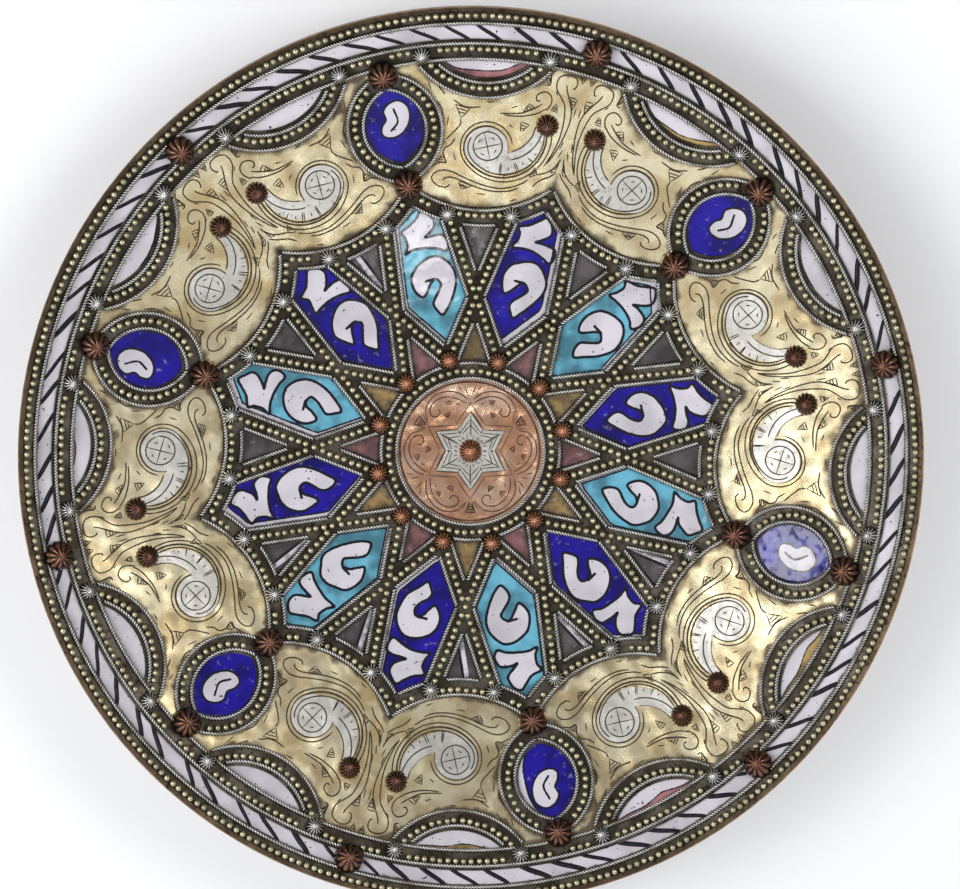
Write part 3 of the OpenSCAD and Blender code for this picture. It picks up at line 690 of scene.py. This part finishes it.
panel_lines = [comma(2, (152, 305), (-52, 158)), arc_points(HOLLOW, 13.6, 172, 240)]
panel_lines += [curve(line, 5 * len(line), closed=False) for line in (
    [(6.9, 132.1), (4.8, 136.4), (3.1, 142.8), (2.1, 149.2), (1.9, 154.7), (2.7, 158.9), (4.8, 163.1),
     (7.3, 167.3), (8.1, 169.5)],
    [(6.9, 132.1), (5.2, 138.5), (4.2, 145.5), (4.4, 151.3), (5.2, 156.3), (6.5, 160.6), (9, 163.5),
     (11.9, 166.5), (12.7, 169.9), (11.9, 172.4), (9, 173.9), (5.6, 173.7), (4, 171.6), (4.4, 169),
     (5.4, 168.6)],
    [(13.6, 155.9), (12.3, 159.7), (13.1, 162.7), (15.6, 164.1), (18.3, 162.9), (19.4, 161), (18.6, 159.3),
     (17.1, 159.5)],
    [(13.6, 156.9), (16.5, 153.9), (20.6, 151.5), (24.8, 149.9), (30.6, 148.8)],
    [(15.6, 158.6), (19, 155.2), (23.1, 152.1), (28.1, 150.3), (32.3, 149.2)],
    [(11.5, 124.4), (14.4, 121.3), (18.1, 118.8), (22.3, 117), (27.3, 116.3), (33.1, 116.4), (39.8, 117.2),
     (44.8, 118), (49, 117.5), (51.9, 115.3), (52.5, 112.8), (50.6, 110.9), (47.6, 110.2), (45, 110.8),
     (43.9, 112.4)],
    [(14.4, 119.7), (18.1, 117), (23.1, 115.2), (28.1, 114.4), (34, 114.5), (39.8, 115.3), (44, 115.5),
     (46.7, 114.6), (47.5, 112.9)],
    [(41.5, 149.3), (46.5, 147.6), (49.8, 147.6), (54, 148.9)],
    [(48, 141.7), (47.5, 139), (49.4, 134.7), (51.5, 130.8)],
    [(48, 132.6), (49.1, 129.3), (51, 127.2), (51, 124.3), (48.7, 121.1), (51.4, 120.3), (54, 117.6)],
    [(0.6, 137.4), (2, 133.2), (4.8, 129.8), (8.6, 127.5)],
    [(0.6, 131), (3.1, 128.2), (6.8, 125.2), (9, 121.8)],
    [(14.4, 174.8), (16.1, 172.4), (15.4, 167.8), (17.2, 166.8)],
    [(22.5, 167.5), (21, 171), (22.2, 174.5)],
    [(57.6, 150.4), (61, 152.6), (64.6, 156.6), (68.4, 158.2)],
    [(56, 140.6), (57.2, 143.6), (60.4, 146.4)])]
panel_lines += [line for corners in (
    ((18.3, 155.6), (21.5, 157), (23, 152.8)), ((18.6, 147.6), (22.3, 148), (21.2, 143.6)),
    ((34.8, 114.2), (41, 114.8), (38.6, 111.6)), ((45.6, 147.2), (52.3, 147.2), (48, 142)),
    ((48.6, 121.4), (52.3, 120.4), (51, 124.4)), ((1.9, 164.8), (5.2, 165), (2.7, 159.7)),
    ((8.6, 127.6), (11.6, 125.4), (10.4, 130.6)), ((8.6, 156.7), (11.5, 156.7), (9.9, 160)),
    ((1.4, 131.4), (3.4, 130.2), (0.9, 136)), ((0.6, 175.6), (3.6, 175.4), (2, 172)),
    ((15.6, 171.6), (18.4, 170.8), (15.8, 167.6)), ((58, 128), (60.4, 129.6), (57.6, 133.4)))
    for line in hatch(*corners)]
panel_lines += [
    ((25.6, 154.4), (28.1, 152.6)), ((27.7, 112.4), (31.5, 111.8)), ((53.7, 141.7), (52.9, 137.5)),
    ((47, 126.5), (45, 123.4)), ((1.2, 161), (1.2, 156.5)), ((1.3, 141.2), (2.3, 137.4)),
    ((2, 145), (2.6, 141)), ((36.4, 153), (39.6, 152.2)), ((14, 114.6), (16.6, 112.8)),
    ((10.6, 163.8), (12, 165.6)), ((25, 144.6), (27.4, 145.6)), ((64.4, 150.6), (66.8, 153.4)),
    ((58.4, 136.4), (59, 139.4)), ((20, 124.6), (23, 122.6))]


def chase(lines, turns, level, half=GROOVE_HALF, hands=(1, -1)):
    """Dark ribbons for chased lines, at each angle and mirrored about it, tapering at both ends."""
    lofts = []
    for line in lines:
        line = np.asarray(line, float)
        if len(line) == 2:
            line = line[0] + np.linspace(0, 1, 4)[:, None] * (line[1] - line[0])
        plans = np.stack([around(line * (hand, 1), turn) for turn in turns for hand in hands])
        plans = plans + rng.normal(0, 0.12, (len(plans), 1, 2))
        nearer_end = np.minimum(np.arange(len(line)), np.arange(len(line))[::-1])
        wide = half * np.minimum(nearer_end * 0.5 + 0.35, 1)
        lofts.append(ribbon(plans, wide, level - GROOVE_DEEP, level + GROOVE_PROUD))
    return lofts


def polish(dark, light):
    """Old polish caked in a groove, lighter where it has worn through to the metal."""
    def paint(f):
        return {"Base Color": blend(step(cloud(f, 300), 0.3, 0.8), dark, light), "Metallic": 0.4,
                "Roughness": 0.5 + 0.2 * cloud(f, 300)}
    return paint


groove_look = material("chased_groove", polish(dark=(0.028, 0.019, 0.01), light=(0.11, 0.08, 0.04)))
piece("brass_chasing", chase(panel_lines, SECTORS, SHEET_T), groove_look, "brass_sheet")

# The paisleys: commas of silvered sheet soldered on the brass in mirrored pairs.
# They are chased with a ring, a cross and bars, and a dark band round their edges on the brass is painted
# shade with dirt.
silver_look = material("silvered_sheet", metal(
    colour=(0.72, 0.69, 0.62), worn=(0.9, 0.87, 0.8), grime_and_shade=(0.36, 0.33, 0.28),
    rough=0.3, spread=2, hammer=0.3))
dress(silver_look, *(f"paisley_pair_{k}" for k in range(1, 7)))
RING, RING_R = HEAD + (-0.2, 0.9), 6.4
TAIL_BARS = ((194, 2.2, 3.2), (206, 1.4, 4.6), (219, 2.8, 4.2), (230, 1.4, 5.8), (233, 1.4, 5.8),
             (245, 3.2, 5), (257, 1.4, 6.6), (260, 1.4, 6.6))
paisley_lines = [arc_points(RING, RING_R, 0, 360, 34), arc_points(HOLLOW, 17, 180, 246),
                 comma(-1.3, (165, 300), (-53, 20))]
for d in np.array([(0.87, -0.49), (0.49, 0.87)]):
    paisley_lines.append((RING - 6.2 * d, RING + 6.2 * d))
for k in range(4):
    d = compass(15 + 90 * k)
    across = 0.9 * d[::-1] * (-1, 1)
    paisley_lines.append((RING + 4.2 * d + across, RING + 4.2 * d - across))
for turn, near, far in TAIL_BARS:
    paisley_lines.append(BOW + np.outer((BEND_R - near, BEND_R - far), compass(turn)))
# A dark band just outside each paisley on the brass: painted shade with dirt at the raised sheet's edge.
edge_lines = [comma(0.1, (158, 305), (-50, 188), 40), arc_points(HOLLOW, 15.9, 170, 251)]
piece("paisley_edge_shade_and_grime", chase(edge_lines, SECTORS, SHEET_T, half=0.42), groove_look, "brass_sheet")
piece("paisley_chasing", chase(paisley_lines, SECTORS, SHEET_T + APPLIQUE_T, half=0.29), groove_look,
      "silvered_sheet")

# The medallion: a copper disc chased with a larger star, scrolls at three of its tips and rays at the others.
# A six-pointed star of silvered sheet is soldered in the middle; each point has a ridge line and ticks.
dress(material("copper_chased", metal(
    colour=(0.74, 0.39, 0.23), worn=(0.96, 0.66, 0.46), grime_and_shade=(0.36, 0.18, 0.11),
    rough=0.2, spread=1.6, hammer=0.9)), "medallion_disc")
dress(silver_look, "medallion_star")
STAR_TURN, STAR_TIP, STAR_NOTCH = 30, 17.4, 10.8
TIPS = STAR_TURN + 60 * np.arange(6)
NOTCH_WAY = compass(60)
# star_edge_shade: a line just outside each side of the star, drawn dark on the copper as painted shadow with
# grime.
star_edge_shade = (0, STAR_TIP + 0.3), (STAR_NOTCH + 0.2) * NOTCH_WAY
big_star = (0, 21.8), 13.4 * NOTCH_WAY
scrolls = [curve(line, 5 * len(line), closed=False) for line in (
    [(1.2, 23.4), (5.8, 26.3), (11.4, 26.7), (16, 25), (19, 21.6), (20.4, 17.6)],
    [(9, 24.6), (13, 23.9), (16.4, 21.8), (18, 18.4), (17, 15.8), (14.6, 15.6), (13.4, 17.4), (14.4, 19)],
    [(1.6, 21.6), (5, 23.4), (9, 24.6)])]
scrolls += hatch((8, 22.6), (11, 22.4), (9.6, 20.4)) + hatch((9, 17.4), (12, 16.2), (9.6, 14.6))
scrolls += [((4.6, 20.8), (6.4, 21.6)), ((1, 25.6), (2.4, 29)), ((3.4, 27.4), (5.6, 29.4)),
            ((13, 28), (15.4, 27))]
rays = hatch((-2.4, 27.6), (2.4, 27.6), (0, 23.4)) + [((0.6 * i, 22.6), (1.9 * i, 26.4)) for i in (1, 2, 3)]
copper_groove = material("copper_groove", polish(dark=(0.06, 0.026, 0.014), light=(0.18, 0.09, 0.055)))
medallion_cuts = [cut for lines, turns in (([big_star], TIPS), (scrolls, TIPS[1::2]), (rays, TIPS[::2]))
                  for cut in chase(lines, turns, SHEET_T, half=0.28)]
hem = arc_points((0, 0), hub_seam_r - 1.7, 0, 360, 90)
medallion_cuts += chase([hem], [0], SHEET_T, half=0.45, hands=(1,))
piece("medallion_chasing", medallion_cuts, copper_groove, "copper_sheet")
star_lines = [((0, 6.4), (0, 15.8)), ((0, 14.6), (4.5, 8.2)), ((4.6, 7.9), (5.2, 9.1)),
              ((0, 11.6), (3.9, 7.2)), ((1.2, 5.7), (1.6, 7.3)), ((2.6, 5.2), (3.2, 6.3))]
star_cuts = chase(star_lines, TIPS, SHEET_T + APPLIQUE_T, half=0.24)
# A dark band just outside the star's edge on the copper is painted shadow with grime.
star_cuts += chase([star_edge_shade], TIPS, SHEET_T, half=0.5)
piece("star_chasing", star_cuts, groove_look, "silvered_sheet")

# The wires: two strands of bright silvered wire twisted hard together and soldered along the strips' edges.
# They stand for the CAD's plain round wires and keep to the same lines and mitred corners.
TWIST, SEAT = 2.7, 0.03
WIRE_BRIGHT, WIRE_DIRTY, WIRE_VALLEY_SHADE = (0.56, 0.55, 0.52), (0.24, 0.215, 0.18), (0.05, 0.043, 0.035)


def resample(path, old, new):
    """Places along a path at new marks, straight between the places at old ones."""
    return np.stack([np.interp(new, old, path[:, i]) for i in range(3)], 1)


def rope(path, wrap=False):
    """Twisted wire along a path: a waisted section as wide as the plain wire, turned once in each TWIST."""
    length = np.linalg.norm(np.diff(path, axis=0), axis=1).sum()
    halves = max(1, round(2 * length / TWIST))
    count = 4 * halves + (0 if wrap else 1)
    s = np.arange(count) / (4 * halves)
    line = resample(path, np.linspace(0, 1, len(path)), s)
    way = np.roll(line, -1, 0) - np.roll(line, 1, 0) if wrap else np.gradient(line, axis=0)
    up = -unit(line)
    left = np.cross(up, unit(way))
    round_it = np.arange(8) * np.pi / 4
    wide = wire_r * (0.66 + 0.46 * np.cos(round_it) ** 2)
    t = (round_it + np.pi * halves * s[:, None])[..., None]
    rings = line[:, None] + wide[:, None] * (np.cos(t) * left[:, None] + np.sin(t) * up[:, None])
    return loft((rings + (0, 0, middle_z))[None], wrap), np.tile(np.cos(round_it) ** 2, count)


def whole_ring(reach):
    """A ring round Z at that distance, on the ball that the wires' middles lie on."""
    drop = np.full(721, np.sqrt(wire_ball**2 - reach**2))
    return np.column_stack([reach * compass(np.linspace(0, 360, 721)).T, -drop])


def heading(line, start, goal):
    """Unit step along a round line from start, on the side of the goal."""
    g = np.cross(line[0], start)
    return unit(g) * np.sign(g @ (goal - start))


def mitre(a, a_goal, b, b_goal, corner):
    """Length to cut where two wires touch in a corner: the radius over the tangent of half its angle."""
    return wire_r / np.tan(np.arccos(heading(a, corner, a_goal) @ heading(b, corner, b_goal)) / 2) + SEAT


def cut_walk(line, a, b, cut_a, cut_b):
    """Places along a round line from a to b, less a length at either end."""
    path = walk(line, a, b, 200)
    run = np.concatenate([[0], np.linalg.norm(np.diff(path, axis=0), axis=1).cumsum()])
    return resample(path, run, np.linspace(cut_a, run[-1] - cut_b, 120))


def wire_loop(lines, near):
    """Paths of wires that meet one after another in a closed run, cut back in each corner."""
    n = len(lines)
    at = [meet(lines[i], lines[(i + 1) % n], near[i], wire_ball) for i in range(n)]
    cuts = [mitre(lines[i], at[i - 1], lines[(i + 1) % n], at[(i + 1) % n], at[i]) for i in range(n)]
    return [cut_walk(lines[i], at[i - 1], at[i], cuts[i - 1], cuts[i]) for i in range(n)]


def twisted(f):
    """Bright on the strands' crowns, with painted shade in the valleys between them."""
    dirt = step(cloud(f, 120), 0.45, 0.75)
    crown = step(carried(f, "crown"), 0.05, 0.6)
    return {"Base Color": blend(crown, WIRE_VALLEY_SHADE, blend(dirt, WIRE_BRIGHT, WIRE_DIRTY)), "Metallic": 1,
            "Roughness": 0.3 + 0.2 * dirt}


wire_look = material("twisted_wire_bright", twisted)


def wires(node, paths, wrap=False):
    lofts, crowns = zip(*(rope(path, wrap) for path in paths))
    piece(node + "_twisted", lofts, wire_look, "twisted_wire", [node], crown=np.concatenate(crowns))


wires("outer_rim_wire", [whole_ring(far_r)], True)
wires("inner_rim_wires", [whole_ring(inner_r + STRIP_H), whole_ring(inner_r - STRIP_H)], True)
wires("medallion_wire", [whole_ring(hub_seam_r)], True)
wires("oval_wires", [path for t in OVALS for grow in (-STRIP_H, STRIP_H) for path in wire_loop(
    [ring_line(to(t + s * oval_turn, oval_r), oval_arc + grow, wire_ball) for s in (-1, 1)],
    [to(t, inner_r), to(t, CROSS_R)])])
paths = []
for t in MIDS:
    for grow in (-STRIP_H, STRIP_H):
        arc = ring_line(spin(moon_axis, t), moon_arc + grow, wire_ball)
        rim = ring_line(DOWN, inner_seam_r - 2 * wire_r, wire_ball)
        paths.append(walk(arc, *(meet(arc, rim, to(t + s * 15, inner_r), wire_ball) for s in (-1, 1)), 120))
wires("half_moon_wires", paths)
paths = []
for t in MIDS:
    before, prior, line, after = (lobe_line(t + d, -STRIP_H, wire_ball) for d in (-60, -30, 0, 30))
    a, b = (meet(line, other, to(t + d, CROSS_R), wire_ball) for other, d in ((prior, -15), (after, 15)))
    cut = mitre(line, b, prior, meet(prior, before, to(t - 45, CROSS_R), wire_ball), a)
    paths.append(cut_walk(line, a, b, cut, cut))
wires("rosette_border_wire", paths)
wires("lozenge_wires", [path for t in THIRDS for path in wire_loop(
    [spoke_line(t, 1, STRIP_H), spoke_line(t + 30, -1, -STRIP_H), lobe_line(t + 15, STRIP_H, wire_ball),
     lobe_line(t - 15, STRIP_H, wire_ball), spoke_line(t - 30, 1, -STRIP_H), spoke_line(t, -1, STRIP_H)],
    [to(t + turn, CROSS_R) for turn in (15, 7.5, 0, -7.5, -15, 0)])])
hub_wire = ring_line(DOWN, hub_r + STRIP_H, wire_ball)
paths = []
for t in THIRDS:
    paths += wire_loop([spoke_line(t, 1, -STRIP_H), spoke_line(t + 30, -1, -STRIP_H), hub_wire],
                       [to(t + 15, CROSS_R), to(t + 30, hub_r), to(t, hub_r)])
    lobe = lobe_line(t + 15, STRIP_H, wire_ball)
    paths += wire_loop([spoke_line(t, 1, STRIP_H), spoke_line(t + 30, -1, STRIP_H), lobe],
                       [to(t + turn, CROSS_R) for turn in (15, 0, 30)])
wires("triangle_wires", paths)

# The shot: brass beads soldered in a row along each strip, greenish, with painted shade over the lower half
# of each.
# Each takes its place from the CAD bead it stands for and varies a little, as shot does.
BEAD_BRIGHT, BEAD_DULL, BEAD_UNDERSIDE_SHADE = (0.56, 0.52, 0.34), (0.35, 0.32, 0.2), (0.04, 0.033, 0.018)


def bead_places(node):
    """Middles and radius of a node's beads, by their boxes; a bead ends where no edge passes a vertex."""
    mesh = nodes[node].data
    at, ends = np.empty(len(mesh.vertices) * 3), np.empty(len(mesh.edges) * 2, int)
    mesh.vertices.foreach_get("co", at)
    mesh.edges.foreach_get("vertices", ends)
    at, ends = at.reshape(-1, 3) / MM, np.sort(ends.reshape(-1, 2), 1)
    reach = np.arange(len(at))
    np.maximum.at(reach, ends[:, 0], ends[:, 1])
    last = np.flatnonzero(np.maximum.accumulate(reach) == np.arange(len(at)))
    first = np.concatenate([[0], last[:-1] + 1])
    low, high = np.minimum.reduceat(at, first), np.maximum.reduceat(at, first)
    return (low + high) / 2, (high - low)[:, 2].mean() / 2


def bead_brass(f):
    """Greenish brass by patches, with painted shade below the bead's waist."""
    tone = step(cloud(f, 150), 0.35, 0.7)
    lit_part = step(carried(f, "rise"), -0.55, 0.15)
    return {"Base Color": blend(lit_part, BEAD_UNDERSIDE_SHADE, blend(tone, BEAD_BRIGHT, BEAD_DULL)), "Metallic": 1,
            "Roughness": 0.27 + 0.15 * tone}


def planted(shell, up, feet, turn=0, size=1):
    """Copies of a shell (rows, points, 3), each at its foot with its own upward direction and turn."""
    side = unit(np.cross((0, 1, 0), up))
    x = side * np.cos(turn) + np.cross(up, side) * np.sin(turn)
    axes = np.stack([x, np.cross(up, x), up], 1)
    return loft(np.einsum("rcx,kxd->krcd", shell, axes) * size + feet[:, None, None])


bead_look = material("bead_brass", bead_brass)
lat, lon = np.radians(np.linspace(-84, 84, 7))[:, None], np.arange(10) * np.pi / 5
ball = np.stack(np.broadcast_arrays(np.cos(lat) * np.cos(lon), np.cos(lat) * np.sin(lon), np.sin(lat)), -1)
for row in ("outer_rim", "inner_rim", "oval", "half_moon", "rosette", "spoke", "medallion"):
    node = row + "_beads"
    places, bead_r = bead_places(node)
    up = unit((0, 0, middle_z) - places)
    size = bead_r * rng.uniform(1.02, 1.12, (len(places), 1, 1, 1))
    places = places + rng.normal(0, 0.12, places.shape) * (1, 1, 0)
    piece(node + "_shot", [planted(ball, up, places, size=size)], bead_look, "brass_beads", [node],
          rise=np.tile(ball[..., 2].ravel(), len(places)))

# The studs: caps raised from thin sheet with flutes pressed in from apex to foot, soldered over the joins.
# In the flutes the copper ones are painted dark red-brown, as shade with tarnish; the silver ones are painted
# near black there as shade, and keep white ridges.
STUD_RISE, STUD_ROWS = 0.4, 9
WIRE_TOP = bowl_r - wire_ball + wire_r + SEAT
TRIM_TOP = SHEET_T + APPLIQUE_T + GROOVE_PROUD
CURL_DROP, CURL_OFF = 30.3, 10.9


def fluted(colour, valley_shade, rough):
    """Clean metal on the ridges and painted shade in the valley of each flute."""
    def paint(f):
        ridge = carried(f, "ridge")
        wear = step(cloud(f, 260), 0.4, 0.75)
        return {"Base Color": blend(step(ridge + 0.25 * wear, 0.35, 1), valley_shade, colour), "Metallic": 1,
                "Roughness": rough + 0.2 * (1 - ridge), "Coat Weight": 0.25}
    return paint


def studs(node, dirs, level, d, count, depth, look, slot, sharp):
    """Spherical domes; flutes sink by depth between count ridges, which are narrow where sharp is large."""
    m = 6 * count
    t = np.arange(m) * 2 * np.pi / m
    ridge = np.abs(np.cos(count * t / 2)) ** sharp
    h, r = STUD_RISE * d, d / 2
    ball_r = (r * r + h * h) / (2 * h)
    lean = np.arcsin(r / ball_r) * np.linspace(1, 0.03, STUD_ROWS)[:, None]
    fade = np.interp(np.linspace(0, 1, STUD_ROWS), [0, 0.3, 0.8, 1], [0.8, 1, 0.7, 0])[:, None]
    sunk = ball_r - depth * fade * (1 - ridge)
    shell = np.stack([sunk * np.sin(lean) * np.cos(t), sunk * np.sin(lean) * np.sin(t),
                      np.maximum(sunk * np.cos(lean) - ball_r + h, 0)], -1)
    up = -np.array(dirs)
    turn = rng.uniform(0, 2 * np.pi, len(up))[:, None]
    feet = -up * (bowl_r - level) + (0, 0, middle_z)
    # lit_part: the ridges and the unfluted apex keep the metal's colour; the flutes' valleys get painted
    # shade.
    lit_part = np.clip(np.maximum(ridge, np.linspace(-0.4, 1.1, STUD_ROWS)[:, None] ** 3), 0, 1)
    piece(node + "_fluted", [planted(shell, up, feet, turn)], look, slot, [node],
          ridge=np.tile(lit_part.ravel(), len(up)))


dark = dict(slot="copper_studs", look=material("copper_stud_fluted", fluted(
    colour=(0.175, 0.078, 0.047), valley_shade=(0.012, 0.005, 0.0035), rough=0.18)))
bright = dict(slot="copper_studs", look=material("copper_stud_bright", fluted(
    colour=(0.52, 0.24, 0.13), valley_shade=(0.05, 0.018, 0.01), rough=0.16)))
silver = dict(slot="silver_studs", look=material("silver_stud_fluted", fluted(
    colour=(0.7, 0.69, 0.66), valley_shade=(0.04, 0.036, 0.032), rough=0.22)))
large = dict(level=WIRE_TOP, d=13.6, count=11, depth=0.8, sharp=0.9, **dark)
small = dict(level=WIRE_TOP, d=8.2, count=14, depth=0.55, sharp=2.2, **silver)
outer_r, curl_r = far_r + STRIP_H, step_in(inner_r, CURL_DROP)
curl_turn = beside(curl_r, CURL_OFF)
oval_ends = (step_in(inner_seam_r, (OVAL_INSET - STRIP_H) / 2), step_in(oval_foot_r, POINT_GAP / 2))
studs("rim_studs", [to(t, (outer_r + inner_r) / 2) for t in SECTORS], **large)
studs("oval_studs", [to(t, r) for t in OVALS for r in oval_ends], **large)
studs("paisley_studs", [to(t + s * curl_turn, curl_r) for t in SECTORS for s in (-1, 1)],
      TRIM_TOP, d=10.4, count=16, depth=0.5, sharp=2, **dark)
studs("medallion_studs", [to(t, hub_stud_r) for t in THIRDS],
      WIRE_TOP, d=8.6, count=14, depth=0.45, sharp=1.4, **bright)
studs("centre_stud", [DOWN], TRIM_TOP, d=11, count=18, depth=0.45, sharp=1.6, **bright)
studs("half_moon_studs", [to(t + s * moon_turn, inner_r) for t in MIDS for s in (-1, 1)], **small)
ends = [meet(spoke_line(t, s, 0), lobe_line(t + s * 15, 0, wire_ball), to(t + s * 15, CROSS_R), wire_ball)
        for t in THIRDS for s in (-1, 1)]
studs("rosette_studs", unit(np.array(ends)), **small)

# The stage: a pale floor under the platter, soft light from above, and the camera almost straight over it,
# tilted a little towards the top left of the face as in the photograph.
FLOOR_Z = -0.0002
floor_mesh = bpy.data.meshes.new("floor")
corners = [(x, y, FLOOR_Z) for x, y in ((-4, -4), (4, -4), (4, 4), (-4, 4))]
floor_mesh.from_pydata(corners, [], [(0, 1, 2, 3)])
floor_mesh.materials.append(material("floor_paint", lambda f: {
    "Base Color": blend(cloud(f, 3), (0.93, 0.93, 0.93), (0.9, 0.9, 0.9)), "Roughness": 0.7}))
shown("floor", floor_mesh)

world = bpy.data.worlds.new("studio")
world.use_nodes = True
sky = Flow(world.node_tree)
looking = sky.node("TexCoord", out="Generated")
east, north, height = (sky.node("SeparateXYZ", {"Vector": looking}, out=i) for i in range(3))
tone = blend(step(height, 0.55, 0.97), (0.86, 0.88, 0.92), (0.42, 0.43, 0.46))
strength = 0.88 - 0.3 * east - 0.56 * north
sky.feed(world.node_tree.nodes["Background"], {"Color": tone, "Strength": strength})
bpy.context.scene.world = world
for name, spot, size, watts in (
        ("left_window", (-1, 0.1, 1.2), 0.8, 10), ("right_window", (0.9, 0.4, 1.3), 0.7, 8),
        ("glare_right", (-0.375, -0.058, 1.3), 0.12, 0.45), ("glare_top", (0.092, -0.462, 1.3), 0.1, 0.25)):
    lamp = bpy.data.lights.new(name, "AREA")
    lamp.energy, lamp.size = watts, size
    made = shown(name, lamp)
    made.location = spot
    made.rotation_mode = "QUATERNION"
    made.rotation_quaternion = (-made.location).to_track_quat("-Z", "Y")

lens = bpy.data.cameras.new("camera")
lens.sensor_width, lens.lens = 36, 171.6
camera = shown("camera", lens)
camera.location = (-0.041, 0.2707, 2.04)
camera.rotation_euler = np.radians((-7.533, -1.277, 0.036))
bpy.context.scene.camera = camera
bpy.context.scene.view_settings.view_transform = "Standard"
